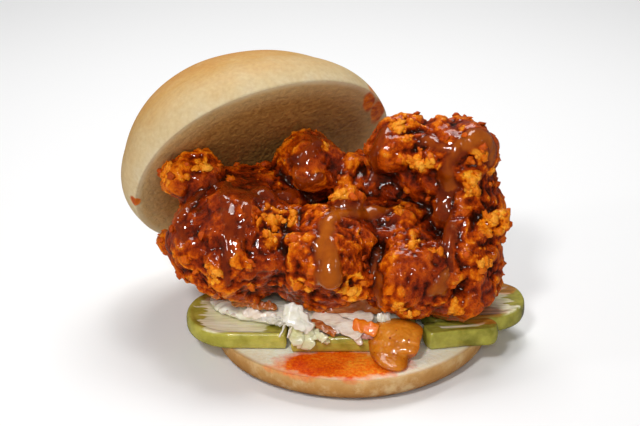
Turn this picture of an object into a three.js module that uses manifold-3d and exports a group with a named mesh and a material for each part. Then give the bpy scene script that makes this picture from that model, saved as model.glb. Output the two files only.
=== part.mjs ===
// Chicken burger with its crown tipped back: a heel of soft bread, slabs of pickle, shredded slaw,
// one large piece of fried chicken under thick sauce, a spill of the same sauce, and the domed
// crown that leans behind. Millimetres, +Z up, origin at the centre of the heel's flat base.
// The eater looks along +Y, with +X to the right.
import * as THREE from 'three';
import { mergeVertices } from 'three/addons/utils/BufferGeometryUtils.js';
import Module from 'manifold-3d';

const wasm = await Module();
wasm.setup();

// Driving dimensions
const GAP = 0.3;
const BUN_RADIUS = 50;
const BUN_SIDES = 44;
const BUN_UNEVENNESS = 0.5;

const HEEL_HEIGHT = 9.5;
const HEEL_BASE_RADIUS = 41;
const HEEL_FULLNESS = 3;

const CROWN_HEIGHT = 41.4;
const CROWN_RINGS = 11;
const CROWN_SHOULDER = 1.84;
const CROWN_CAP = 2.05;
const CROWN_BULGE = 1.3;
const CROWN_BULGE_HEIGHT = 18;
const CROWN_LEAN = { sideways: -5.9, upwards: -2 };
const CROWN_CENTRE = new THREE.Vector3(-32.3, 28.8, 57.3);
const CROWN_FACE = new THREE.Vector3(0.364, -0.714, -0.598).normalize();

const PICKLE_Z = HEEL_HEIGHT + GAP;
const PICKLE_EDGE = 0.7;
const PICKLE_CURVE = 6;
const PICKLES = {
  pickle_left: { middle: [-40.4, -8.5], size: [37, 39], thickness: 6, ends: [18, 2], turn: 0 },
  pickle_middle: { middle: [0.95, -9.5], size: [44.9, 42], thickness: 6, ends: [2, 3], turn: 0 },
  pickle_right_front: { middle: [38.4, -22.4], size: [27, 8.5], thickness: 6.8, ends: [2, 4], turn: 9 },
  pickle_right_rear: { middle: [44, 0.4], size: [40, 33], thickness: 6.8, ends: [3, 17], turn: 8 },
};

const SLAW_CORE = { centre: [-10, -4, 17.4], radii: [42, 21, 4.6] };
const SLAW_FACET = 9;
const SLAW_SWAY = { size: 8, depth: 1.2 };
const SHRED = { width: 2.6, thickness: 0.9, steps: 4 };
const SHRED_COUNT = 7;
const SHOWN_SHREDS = [
  { name: 'leaf', start: [-23.5, -27, 20], heading: 0.1, length: 10.5, width: 8.5, tilt: 1.1, twist: 0.4 },
  { name: 'hung leaf', start: [-15, -24, 19], heading: -1.75, length: 12, width: 4.6, droop: 7, twist: 0.5 },
  { name: 'leaf tip', start: [-15, -29.5, 17.6], heading: -0.4, length: 8, width: 3.4, curl: 0.5, tilt: 0.5 },
  { name: 'pink', start: [-12, -23.5, 18.4], heading: -0.25, length: 22, width: 4.6, curl: -0.4, droop: 1 },
  { name: 'carrot', start: [0, -26, 18.9], heading: -0.5, length: 9.5, width: 3.8, tilt: 0.4 },
  { name: 'purple bit', start: [4.4, -31, 18], heading: -0.3, length: 5.5, width: 2.2, tilt: 0.9 },
  { name: 'white nub', start: [10, -26, 18.6], heading: 0, length: 5.5, width: 4, tilt: 1.1 },
  { name: 'thin shred', start: [-31, -18, 18.4], heading: -1, length: 16, width: 2.2, curl: 0.2, tilt: 0.3 },
  { name: 'left wide', start: [-50, -3, 17.2], heading: -0.35, length: 15, width: 3.4, curl: 0.3 },
  { name: 'left thin', start: [-43, -7.5, 17.6], heading: -0.5, length: 14, width: 2.4, curl: 0.5, twist: 0.6 },
];

const CHICKEN_FLOOR = 17.2;
const CRUST_FACET = 4.4;
const CRUST_PUFFS = { size: 10.5, depth: 6, sunk: 0.6 };
const CRUST_SWAY = { size: 15, depth: 2 };
const FLAKE_SWAY = { size: 4, depth: 1.2 };
const LUMPS = [
  { name: 'front left', centre: [-39.5, -10, 42.5], radii: [24, 23, 18.5] },
  { name: 'front middle', centre: [-9, -13, 40], radii: [20, 22, 17.5] },
  { name: 'front right', centre: [20, -11, 34], radii: [19, 21, 15.5] },
  { name: 'pillar foot', centre: [40, -4, 34], radii: [14, 19, 20] },
  { name: 'pillar waist', centre: [39, 2, 50], radii: [13.5, 15, 16] },
  { name: 'pillar top', centre: [35.8, 5, 65], radii: [16, 15, 17.5] },
  { name: 'knob', centre: [18.5, 8, 69.5], radii: [12.5, 13, 12.5] },
  { name: 'knob root', centre: [14, 10, 55], radii: [12, 12, 13] },
  { name: 'rear lump', centre: [-14, 14, 61.5], radii: [11.5, 14, 12.5] },
  { name: 'rear shoulder', centre: [1, 14, 55], radii: [9.5, 12, 11] },
  { name: 'rear left ear', centre: [-57, 3, 62], radii: [10, 9, 9] },
  { name: 'ridge', centre: [-36, 6, 51], radii: [24, 17, 10] },
  { name: 'saddle', centre: [12, 0, 44], radii: [19, 20, 12] },
  { name: 'back', centre: [-12, 18, 36], radii: [46, 24, 16] },
  { name: 'tail', centre: [-35, 37, 20], radii: [23, 23, 12] },
  { name: 'left skirt', centre: [-39, -4, 29.5], radii: [13, 13, 8] },
  { name: 'foot flap', centre: [37, -19, 25], radii: [12, 8, 5.5] },
];
const HOLLOW = { centre: [2, -31, 25.5], radii: [7, 8, 5] };
const FLAKES = [
  { centre: [-2, -12, 58], radii: [6, 4, 7], turn: [0, 20, 10] },
  { centre: [49, -13, 50], radii: [7.5, 4, 6], turn: [0, 0, 25] },
  { centre: [-64.5, -4, 40], radii: [5, 4, 4.5], turn: [0, 0, 0] },
  { centre: [42, -1, 76], radii: [7, 9, 7], turn: [0, 0, 0] },
  { centre: [31.5, 4, 80], radii: [5, 5, 4.5], turn: [0, 0, 0] },
  { centre: [27, -4, 72], radii: [8, 5, 5], turn: [0, -20, 0] },
];
const DRIPS = [
  { from: [-6, 57], to: [-7.6, 38], width: 3.2, bulb: 1.3 },
  { from: [43, 76], to: [34, 34], width: 4.4, bulb: 1.1 },
  { from: [11, 37], to: [12, 24], width: 2.2, bulb: 1.3 },
  { from: [-42, 58], to: [-36, 42], width: 3.2, bulb: 1.2 },
];
const DRIP_THICKNESS = 2.6;
const DRIP_STANDOFF = 1;
const DRIP_WANDER = 0.7;
const DRIP_START = 0.6;

const SPILL = {
  path: [[16, -23, 18.8], [15.8, -30, 18.4], [14.7, -34, 14.8], [13.4, -38, 11.3], [15.2, -44.5, 10.2]],
  halfWidth: 9.3,
  halfThickness: 2.2,
  roundness: 2.4,
};

const crumb = new THREE.MeshStandardMaterial({ color: 0xdccaa4, roughness: 0.9, metalness: 0 });
const toasted = new THREE.MeshStandardMaterial({ color: 0xd9a765, roughness: 0.7, metalness: 0 });
const rind = new THREE.MeshStandardMaterial({ color: 0xa7a542, roughness: 0.35, metalness: 0 });
const cabbage = new THREE.MeshStandardMaterial({ color: 0xded9c4, roughness: 0.4, metalness: 0 });
const crust = new THREE.MeshStandardMaterial({ color: 0x9c3f0e, roughness: 0.4, metalness: 0 });
const sauce = new THREE.MeshStandardMaterial({ color: 0xb8661a, roughness: 0.15, metalness: 0 });

// A closed geometry as a solid that can be joined and cut.
function solidOf(geometry) {
  geometry.deleteAttribute('normal');
  geometry.deleteAttribute('uv');
  const merged = mergeVertices(geometry, 1e-4);
  return new wasm.Manifold(new wasm.Mesh({
    numProp: 3,
    vertProperties: new Float32Array(merged.attributes.position.array),
    triVerts: new Uint32Array(merged.index.array),
  }));
}

// The geometry of a finished solid.
function geometryOf(solid) {
  const mesh = solid.getMesh();
  const geometry = new THREE.BufferGeometry();
  geometry.setAttribute('position', new THREE.BufferAttribute(mesh.vertProperties, 3));
  geometry.setIndex(new THREE.BufferAttribute(mesh.triVerts, 1));
  return geometry;
}

// Moves every corner of a geometry to where the rule puts it.
function reshaped(geometry, rule) {
  const position = geometry.attributes.position;
  const corner = new THREE.Vector3();
  for (let i = 0; i < position.count; i += 1) {
    corner.fromBufferAttribute(position, i);
    const moved = rule(corner);
    position.setXYZ(i, moved.x, moved.y, moved.z);
  }
  return geometry;
}

// A solid grown outwards by a gap, used to cut a neighbour clear of it.
function grown(solid, gap = GAP) {
  const geometry = geometryOf(solid);
  geometry.computeVertexNormals();
  const { position, normal } = geometry.attributes;
  for (let i = 0; i < position.count; i += 1) {
    const move = (axis) => position[`get${axis}`](i) + gap * normal[`get${axis}`](i);
    position.setXYZ(i, move('X'), move('Y'), move('Z'));
  }
  return solidOf(geometry);
}

const joined = (solids) => solids.reduce((whole, solid) => whole.add(solid));

// A solid cut back until it clears each neighbour by the gap.
function clearOf(solid, neighbours) {
  return neighbours.reduce((left, other) => left.subtract(grown(other).add(other)), solid);
}

// The largest connected piece, without the crumbs that a cut leaves loose.
function largestOf(solid) {
  return solid.decompose().reduce((best, piece) => (piece.volume() > best.volume() ? piece : best));
}

// A repeatable draw between 0 and 1.
function drawFrom(seed) {
  let state = seed;
  return () => {
    state = (state * 1664525 + 1013904223) % 4294967296;
    return state / 4294967296;
  };
}

// A fixed number between 0 and 1 for each cell of a lattice.
function cellValue(x, y, z, seed) {
  const mixed = Math.sin(x * 127.1 + y * 311.7 + z * 74.7 + seed * 53.3) * 43758.5453;
  return mixed - Math.floor(mixed);
}

// Smooth noise: swells as wide as size, up to depth high or low.
function swell(point, { size, depth }, seed) {
  const scaled = point.clone().divideScalar(size);
  const corner = scaled.clone().floor();
  const part = scaled.clone().sub(corner);
  const ease = (t) => t * t * (3 - 2 * t);
  let sum = 0;
  for (const dx of [0, 1]) {
    for (const dy of [0, 1]) {
      for (const dz of [0, 1]) {
        const share = (dx ? ease(part.x) : 1 - ease(part.x))
          * (dy ? ease(part.y) : 1 - ease(part.y))
          * (dz ? ease(part.z) : 1 - ease(part.z));
        sum += share * cellValue(corner.x + dx, corner.y + dy, corner.z + dz, seed);
      }
    }
  }
  return depth * (2 * sum - 1);
}

// Rounded puffs with creases between them: 1 on top of a puff, 0 in a crease.
function puff(point, size, seed) {
  const cell = point.clone().divideScalar(size).floor();
  const seedPoint = new THREE.Vector3();
  let nearest = Infinity;
  for (let i = 0; i < 27; i += 1) {
    const x = cell.x + (i % 3) - 1;
    const y = cell.y + (Math.floor(i / 3) % 3) - 1;
    const z = cell.z + Math.floor(i / 9) - 1;
    seedPoint.set(x, y, z);
    seedPoint.x += cellValue(x, y, z, seed);
    seedPoint.y += cellValue(x, y, z, seed + 1);
    seedPoint.z += cellValue(x, y, z, seed + 2);
    nearest = Math.min(nearest, seedPoint.multiplyScalar(size).distanceTo(point) / size);
  }
  return Math.max(0, 1 - nearest * nearest);
}

const vector = (list) => new THREE.Vector3(...list);
const turned = (degrees) => new THREE.Euler(...degrees.map(THREE.MathUtils.degToRad));
const meanOf = (list) => list.reduce((sum, value) => sum + value, 0) / list.length;

// How finely a ball of this radius is divided to get facets of about the wanted width.
const detailFor = (radius, facet) => Math.max(1, Math.round(1.25 * radius / facet) - 1);

// An egg-shaped lump; relief(point) says how far its skin stands out along the normal.
function lump({ centre, radii, turn = [0, 0, 0] }, facet, relief = () => 0) {
  const turning = turned(turn);
  const geometry = new THREE.IcosahedronGeometry(1, detailFor(meanOf(radii), facet));
  return solidOf(reshaped(geometry, (direction) => {
    const outwards = direction.clone().divide(vector(radii)).normalize().applyEuler(turning);
    const skin = direction.clone().multiply(vector(radii)).applyEuler(turning).add(vector(centre));
    return skin.addScaledVector(outwards, relief(skin));
  }));
}

// The bread's slight unevenness, the same all the way down at one angle.
function breadWobble(angle) {
  return BUN_UNEVENNESS * (Math.sin(3 * angle + 0.8) + 0.6 * Math.sin(5 * angle + 2.1));
}

// The heel: a shallow dish with a flat base, a quarter-round side and a flat cut face.
function heel() {
  const rise = [0.16, 0.47, 0.84, 1].map((share) => share * HEEL_HEIGHT);
  const sideRadius = (z) => HEEL_BASE_RADIUS
    + (BUN_RADIUS - HEEL_BASE_RADIUS) * Math.sqrt(1 - (1 - z / HEEL_HEIGHT) ** HEEL_FULLNESS);
  const profile = [
    new THREE.Vector2(0, 0),
    new THREE.Vector2(HEEL_BASE_RADIUS, 0),
    ...rise.map((z) => new THREE.Vector2(sideRadius(z), z)),
    new THREE.Vector2(0, HEEL_HEIGHT),
  ];
  const bowl = new THREE.LatheGeometry(profile, BUN_SIDES).rotateX(Math.PI / 2);
  return solidOf(reshaped(bowl, (corner) => {
    const radius = Math.hypot(corner.x, corner.y);
    const angle = Math.atan2(corner.y, corner.x);
    const wider = radius > 0 ? 1 + breadWobble(angle) / BUN_RADIUS : 1;
    return corner.set(corner.x * wider, corner.y * wider, corner.z);
  }));
}

// The crown: a flat cut face and a dome that leans to one side, turned to face CROWN_FACE.
function crown() {
  const across = new THREE.Vector3(0, 0, 1).cross(CROWN_FACE).normalize();
  const along = CROWN_FACE.clone().cross(across);
  const domeRadius = (h) => {
    const fall = (1 - (h / CROWN_HEIGHT) ** CROWN_CAP) ** (1 / CROWN_SHOULDER);
    const bulge = Math.sin(Math.min(1, h / CROWN_BULGE_HEIGHT) * Math.PI);
    return BUN_RADIUS * fall + CROWN_BULGE * bulge;
  };
  const profile = [new THREE.Vector2(0, 0)];
  for (let ring = 0; ring < CROWN_RINGS; ring += 1) {
    const h = CROWN_HEIGHT * Math.sin(ring / CROWN_RINGS * Math.PI / 2);
    profile.push(new THREE.Vector2(domeRadius(h), h));
  }
  profile.push(new THREE.Vector2(0, CROWN_HEIGHT));
  const dome = new THREE.LatheGeometry(profile, BUN_SIDES);
  return solidOf(reshaped(dome, (corner) => {
    const angle = Math.atan2(corner.z, corner.x);
    const radius = Math.hypot(corner.x, corner.z);
    const wider = radius > 0 ? 1 + breadWobble(angle) / BUN_RADIUS : 1;
    const lean = Math.sin(Math.min(1, corner.y / CROWN_HEIGHT) * Math.PI / 2);
    return CROWN_CENTRE.clone()
      .addScaledVector(across, corner.x * wider + CROWN_LEAN.sideways * lean)
      .addScaledVector(along, corner.z * wider + CROWN_LEAN.upwards * lean)
      .addScaledVector(CROWN_FACE, -corner.y);
  }));
}

// A slab cut lengthwise from a pickle: a rounded outline, thicker than a coin, edges eased.
function pickle({ middle, size, thickness, ends, turn }) {
  const [halfLength, halfWidth] = size.map((value) => value / 2 - PICKLE_EDGE);
  const [leftEnd, rightEnd] = ends;
  const outline = new THREE.Shape();
  outline.moveTo(-halfLength + leftEnd, -halfWidth);
  outline.lineTo(halfLength - rightEnd, -halfWidth);
  outline.absellipse(halfLength - rightEnd, 0, rightEnd, halfWidth, -Math.PI / 2, Math.PI / 2, false);
  outline.lineTo(-halfLength + leftEnd, halfWidth);
  outline.absellipse(-halfLength + leftEnd, 0, leftEnd, halfWidth, Math.PI / 2, 3 * Math.PI / 2, false);
  const slab = new THREE.ExtrudeGeometry(outline, {
    depth: thickness - 2 * PICKLE_EDGE,
    bevelThickness: PICKLE_EDGE,
    bevelSize: PICKLE_EDGE,
    bevelSegments: 1,
    curveSegments: PICKLE_CURVE,
  });
  slab.rotateZ(THREE.MathUtils.degToRad(turn));
  slab.translate(middle[0], middle[1], PICKLE_Z + PICKLE_EDGE);
  return solidOf(slab);
}

// One shred: a thin strip that curls sideways and droops or rises along its length.
function shred({ start, heading, length, width, curl = 0, droop = 0, tilt = 0, twist = 0 }) {
  const strip = new THREE.BoxGeometry(length, width, SHRED.thickness, SHRED.steps, 1, 1);
  return solidOf(reshaped(strip, (corner) => {
    const share = corner.x / length + 0.5;
    const direction = heading + curl * share;
    const roll = tilt + twist * share;
    const y = corner.y * Math.cos(roll) - corner.z * Math.sin(roll);
    const z = corner.y * Math.sin(roll) + corner.z * Math.cos(roll);
    const bend = heading + curl * share / 2;
    return new THREE.Vector3(
      start[0] + length * share * Math.cos(bend) - y * Math.sin(direction),
      start[1] + length * share * Math.sin(bend) + y * Math.cos(direction),
      start[2] - droop * share * share + z,
    );
  }));
}

// The middle of the slaw: a low mound under the chicken.
const slawMound = () => lump(SLAW_CORE, SLAW_FACET, (skin) => swell(skin, SLAW_SWAY, 5));

// The shreds: those that show in front, and a few drawn at random round the back.
function slawShreds(draw) {
  const [centreX, centreY, centreZ] = SLAW_CORE.centre;
  const [radiusX, radiusY] = SLAW_CORE.radii;
  const made = SHOWN_SHREDS.map(shred);
  for (let i = 0; i < SHRED_COUNT; i += 1) {
    const around = Math.PI * (0.08 + 0.84 * (i + 0.6 * draw()) / SHRED_COUNT);
    made.push(shred({
      start: [
        centreX + 0.84 * radiusX * Math.cos(around),
        centreY + 0.84 * radiusY * Math.sin(around),
        centreZ + 0.4 + 0.8 * draw(),
      ],
      heading: around + 1.2 * (draw() - 0.5),
      length: 8 + 6 * draw(),
      width: SHRED.width * (0.7 + 0.8 * draw()),
      curl: 1.8 * (draw() - 0.5),
      droop: 0.5 + draw(),
      twist: 1.2 * (draw() - 0.5),
    }));
  }
  return joined(made);
}

// How far in front the bare lumps reach at one place across and up.
function frontOfLumps(x, z) {
  const fronts = LUMPS.map(({ centre, radii }) => {
    const left = 1 - ((x - centre[0]) / radii[0]) ** 2 - ((z - centre[2]) / radii[2]) ** 2;
    return left > 0 ? centre[1] - radii[1] * Math.sqrt(left) : 0;
  });
  return Math.min(...fronts);
}

// Puffed, swaying relief of the crust.
function crustRelief(skin) {
  const puffs = CRUST_PUFFS.depth * (puff(skin, CRUST_PUFFS.size, 3) - CRUST_PUFFS.sunk);
  return puffs + swell(skin, CRUST_SWAY, 8);
}

// A thick run of sauce that hugs the front of the lumps and ends in a bulb.
function drip({ from, to, width, bulb }) {
  const length = Math.hypot(to[0] - from[0], to[1] - from[1]);
  const run = new THREE.CapsuleGeometry(width, length, 3, 10, 6);
  return solidOf(reshaped(run, (corner) => {
    const share = THREE.MathUtils.clamp(0.5 - corner.y / (length + 2 * width), 0, 1);
    const x = from[0] + (to[0] - from[0]) * share + DRIP_WANDER * Math.sin(7 * share);
    const z = from[1] + (to[1] - from[1]) * share;
    const fuller = DRIP_START + (bulb - DRIP_START) * share;
    const front = frontOfLumps(x, z);
    const depth = DRIP_THICKNESS / width * corner.z * fuller;
    return new THREE.Vector3(x + corner.x * fuller, front - DRIP_STANDOFF - depth, z);
  }));
}

// The spill: sauce that creeps from under the chicken, over the pickle's edge and onto the bread.
function spill() {
  const { path, halfWidth, halfThickness, roundness } = SPILL;
  const route = new THREE.CatmullRomCurve3(path.map(vector));
  const across = new THREE.Vector3(1, 0, 0);
  const sheet = new THREE.SphereGeometry(1, 12, 10).rotateX(Math.PI / 2);
  return solidOf(reshaped(sheet, (corner) => {
    const share = 0.5 + Math.asin(corner.z) / Math.PI;
    const rim = Math.sqrt(Math.max(0, 1 - Math.abs(2 * share - 1) ** roundness));
    const ring = Math.hypot(corner.x, corner.y) || 1;
    const up = route.getTangent(share).cross(across);
    return route.getPoint(share)
      .addScaledVector(across, halfWidth * rim * corner.x / ring)
      .addScaledVector(up, halfThickness * rim * corner.y / ring);
  }));
}

// The fried piece: lumps, flakes and thick sauce in one, flat where it lies on what is below, with
// a fringe of crust in front that overhangs a hollow.
function chicken() {
  const body = joined([
    ...LUMPS.map((each) => lump(each, CRUST_FACET, crustRelief)),
    ...FLAKES.map((each) => lump(each, CRUST_FACET, (skin) => swell(skin, FLAKE_SWAY, 2))),
    ...DRIPS.map(drip),
  ]);
  const span = 4 * BUN_RADIUS;
  const floor = solidOf(new THREE.BoxGeometry(span, span, span).translate(0, 0, CHICKEN_FLOOR - span / 2));
  const tail = LUMPS.find(({ name }) => name === 'tail');
  const rested = body.subtract(floor).subtract(lump(HOLLOW, CRUST_FACET));
  return joined([rested, lump(tail, CRUST_FACET, crustRelief)]);
}

const heelSolid = heel();
const crownSolid = crown();
const pickleSolids = Object.entries(PICKLES).map(([name, shape]) => ({ name, solid: pickle(shape) }));
const below = [heelSolid, ...pickleSolids.map(({ solid }) => solid)];
const mound = largestOf(clearOf(slawMound(), below));
const chickenSolid = largestOf(clearOf(chicken(), [...below, mound, crownSolid]));
const spillSolid = largestOf(clearOf(spill(), [...below, mound, chickenSolid]));
const shreds = clearOf(slawShreds(drawFrom(11)), [...below, chickenSolid, spillSolid]);
const slawSolid = largestOf(mound.add(shreds));

const group = new THREE.Group();
function place(name, solid, material) {
  const mesh = new THREE.Mesh(geometryOf(solid), material);
  mesh.name = name;
  group.add(mesh);
}
place('bun_heel', heelSolid, crumb);
pickleSolids.forEach(({ name, solid }) => place(name, solid, rind));
place('slaw', slawSolid, cabbage);
place('chicken', chickenSolid, crust);
place('sauce_pool', spillSolid, sauce);
place('bun_crown', crownSolid, toasted);

export default group;
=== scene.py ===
# %% [markdown]
# A fried chicken burger, tipped open
#
# This lesson dresses a burger: a soft round bun whose top leans back, slabs of pickle, shredded
# slaw, one big craggy piece of fried chicken under a thick glossy sauce, and a spill of that sauce
# on the bread. The solids come first, packed as a frame in metres. Every surface that is made here
# is worked out with numpy as a whole array, and then handed to Blender as a mesh.

# %% Load the frame
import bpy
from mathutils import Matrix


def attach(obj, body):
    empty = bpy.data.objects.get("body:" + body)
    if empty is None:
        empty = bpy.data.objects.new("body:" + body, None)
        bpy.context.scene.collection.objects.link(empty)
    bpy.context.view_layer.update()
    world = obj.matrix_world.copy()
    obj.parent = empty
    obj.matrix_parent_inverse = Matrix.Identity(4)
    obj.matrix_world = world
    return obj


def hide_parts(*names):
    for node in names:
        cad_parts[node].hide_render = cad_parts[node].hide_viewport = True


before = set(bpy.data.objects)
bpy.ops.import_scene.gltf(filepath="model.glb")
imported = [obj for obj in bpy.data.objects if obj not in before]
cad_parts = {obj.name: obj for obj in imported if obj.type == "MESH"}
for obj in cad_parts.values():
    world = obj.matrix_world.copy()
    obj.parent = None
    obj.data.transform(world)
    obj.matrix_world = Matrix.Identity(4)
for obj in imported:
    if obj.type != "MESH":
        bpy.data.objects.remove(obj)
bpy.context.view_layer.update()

import itertools

import bmesh
import bpy
import numpy as np

MM = 0.001

# %% [markdown]
# One way to make every new surface
#
# Bread, pickles, shreds and sauce are all closed skins that can be wrapped in rings: a ring of
# points, the next ring a little further along, and so on. The first and the last ring are closed
# with a point in the middle. One helper turns such an array into a mesh, for one skin or for
# hundreds at once, so a heap of shreds costs no more lines than a bun.

# %% Rings to a mesh
def put_mesh(name, points, corners, counts):
    """A mesh from its points and from the corners of its faces, counts of them for each face."""
    mesh = bpy.data.meshes.new(name)
    mesh.vertices.add(len(points))
    mesh.vertices.foreach_set("co", np.asarray(points, dtype=np.float32).ravel())
    mesh.loops.add(len(corners))
    mesh.loops.foreach_set("vertex_index", np.asarray(corners, dtype=np.int32))
    starts = np.concatenate([[0], np.cumsum(counts)[:-1]]).astype(np.int32)
    mesh.polygons.add(len(counts))
    mesh.polygons.foreach_set("loop_start", starts)
    mesh.update(calc_edges=True)
    mesh.polygons.foreach_set("use_smooth", np.ones(len(counts), dtype=bool))
    return mesh


def wrapped(name, rings, facts=None):
    """rings[skin, ring, around] in millimetres: quads join each ring to the next, and a fan of
    triangles closes both ends. facts are numbers per ring point that become point attributes."""
    skins, along, around, _ = rings.shape
    size = along * around
    grid = np.arange(size).reshape(along, around)
    right = np.roll(grid, -1, axis=1)
    quads = np.stack([grid[:-1], right[:-1], right[1:], grid[1:]], axis=-1).reshape(-1, 4)
    first = np.stack([np.full(around, size), right[0], grid[0]], axis=-1)
    last = np.stack([np.full(around, size + 1), grid[-1], right[-1]], axis=-1)
    offset = (np.arange(skins) * (size + 2))[:, None]
    quads = (quads.reshape(1, -1) + offset).reshape(-1, 4)
    fans = (np.concatenate([first, last]).reshape(1, -1) + offset).reshape(-1, 3)
    poles = np.stack([rings[:, 0].mean(axis=1), rings[:, -1].mean(axis=1)], axis=1)
    points = np.concatenate([rings.reshape(skins, size, 3), poles], axis=1).reshape(-1, 3)
    a, b, c = points[quads[:, 0]], points[quads[:, 1]], points[quads[:, 2]]
    d = points[quads[:, 3]]
    volume = np.sum(np.cross(b - a, c - a) * a) + np.sum(np.cross(c - a, d - a) * a)
    if volume < 0:
        quads, fans = quads[:, ::-1], fans[:, ::-1]
    corners = np.concatenate([quads.ravel(), fans.ravel()])
    counts = np.concatenate([np.full(len(quads), 4), np.full(len(fans), 3)])
    mesh = put_mesh(name, points * MM, corners, counts)
    for fact, numbers in (facts or {}).items():
        numbers = np.broadcast_to(numbers, rings.shape[:3]).reshape(skins, size)
        ends = np.stack([numbers[:, :around].mean(axis=1), numbers[:, -around:].mean(axis=1)], axis=1)
        keep_fact(mesh, fact, np.concatenate([numbers, ends], axis=1).ravel())
    return mesh


def keep_fact(mesh, name, numbers):
    """Stores one number per point, for a material to read."""
    layer = mesh.attributes.new(name, "FLOAT", "POINT")
    layer.data.foreach_set("value", np.asarray(numbers, dtype=np.float32))


def linked(name, data):
    """A new object in the scene."""
    made = bpy.data.objects.new(name, data)
    bpy.context.scene.collection.objects.link(made)
    return made


def add_piece(name, mesh, material, solid):
    """A finished piece in the place of a solid: its object at the origin, on the one body."""
    piece = linked(name, mesh)
    mesh.materials.append(material)
    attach(piece, "root")
    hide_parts(solid)
    print(name, len(mesh.polygons), "faces")


# %% [markdown]
# Unevenness on purpose
#
# Food is never smooth, and it is never random noise either: bread swells gently, batter fries into
# rounded crags with sharp creases between them. Two helpers give both. The first blends fixed
# draws at the corners of a lattice. The second measures how far each point is from the nearest of
# many scattered seeds, which makes bubbles, crags and pores.

# %% Noise helpers
def drawn(cell, seed):
    """A fixed draw between 0 and 1 for each lattice cell: the fraction of a large, fast sine."""
    value = np.sin(cell @ np.array([127.1, 311.7, 74.7]) + 53.3 * seed) * 43758.5453
    return value - np.floor(value)


def swell(points, size, seed=0):
    """Smooth noise from -1 to 1: the eight draws round each point, eased between corners."""
    scaled = points / size
    corner = np.floor(scaled)
    part = scaled - corner
    part = part * part * (3 - 2 * part)
    total = np.zeros(points.shape[:-1])
    for step in itertools.product((0, 1), repeat=3):
        share = np.prod(np.where(step, part, 1 - part), axis=-1)
        total += share * drawn(corner + step, seed)
    return 2 * total - 1


def crags(points, size, seed=0):
    """Distance to the nearest scattered seed, in cell widths."""
    scaled = points / size
    home = np.floor(scaled)
    nearest = np.full(points.shape[:-1], 9.0)
    for step in itertools.product((-1, 0, 1), repeat=3):
        cell = home + step
        seeds = cell + np.stack([drawn(cell, seed + k) for k in range(3)], axis=-1)
        nearest = np.minimum(nearest, np.linalg.norm(scaled - seeds, axis=-1))
    return nearest


def stirred(points, size, reach, seed=0):
    """The points moved by three swells, so that a pattern laid on them bends and curls."""
    return points + reach * np.stack([swell(points, size, seed + k) for k in range(3)], axis=-1)


def eased(value, low, high):
    """0 below low, 1 above high, and a smooth step between."""
    share = np.clip((value - low) / (high - low), 0, 1)
    return share * share * (3 - 2 * share)


def unit(ways):
    """The same directions with length 1."""
    return ways / np.linalg.norm(ways, axis=-1, keepdims=True)


def turns(count):
    """A full turn in even steps, as angles."""
    return np.linspace(0, 2 * np.pi, count, endpoint=False)


# %% [markdown]
# A short hand for materials
#
# A material is a small graph. Writing each node in one line keeps the recipe readable: the kind of
# node, its settings, and what goes into its sockets. Colours are given as they look on a screen
# and are turned into the linear values that the renderer counts in.

# %% Material helpers
def seen(red, green, blue):
    """A colour as the eye reads it, 0 to 255, turned into linear light."""
    share = np.array([red, green, blue]) / 255
    linear = np.where(share <= 0.04045, share / 12.92, ((share + 0.055) / 1.055) ** 2.4)
    return (*linear.tolist(), 1.0)


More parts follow.
